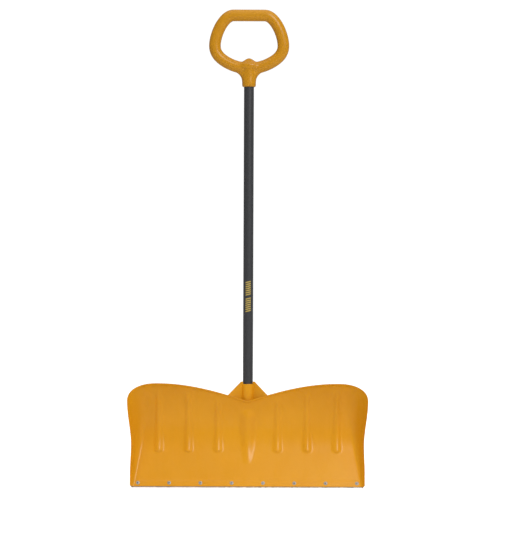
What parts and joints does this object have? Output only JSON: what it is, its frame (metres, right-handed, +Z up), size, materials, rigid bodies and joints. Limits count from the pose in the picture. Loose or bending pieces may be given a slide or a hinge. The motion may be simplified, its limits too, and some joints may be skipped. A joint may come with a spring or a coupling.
{
  "type": "snow shovel",
  "caption": "Wide moulded snow pusher blade with folded side wings, raised ribs and a riveted metal wear strip, on a round tube handle with a closed loop grip.",
  "frame": {"origin": "middle of the whole shovel's footprint box, on the ground under the wear strip's edge", "axes": "+Z up the handle towards the grip, -Y the way the blade's hollow faces, +X to the right seen from the hollow side"},
  "size_m": [0.6096, 0.0961, 1.2206],
  "materials": {
    "yellow_plastic": "moulded, semi-gloss",
    "galvanised_steel": "galvanised, dull",
    "rivet_aluminium": "satin",
    "mandrel_steel": "dull, broken end",
    "grey_powder_coat": "satin powder coat",
    "black_plastic": "moulded, matte",
    "zinc_steel": "bright zinc plated"
  },
  "bodies": {
    "root": {"blade": "yellow_plastic", "wear_strip": "galvanised_steel", "strip_rivets": "rivet_aluminium", "rivet_mandrels": "mandrel_steel", "handle_tube": "grey_powder_coat", "tube_plug": "black_plastic", "socket_bolt": "zinc_steel", "socket_washers": "zinc_steel", "socket_nut": "zinc_steel", "grip": "yellow_plastic", "grip_screw": "zinc_steel"}
  },
  "joints": []
}
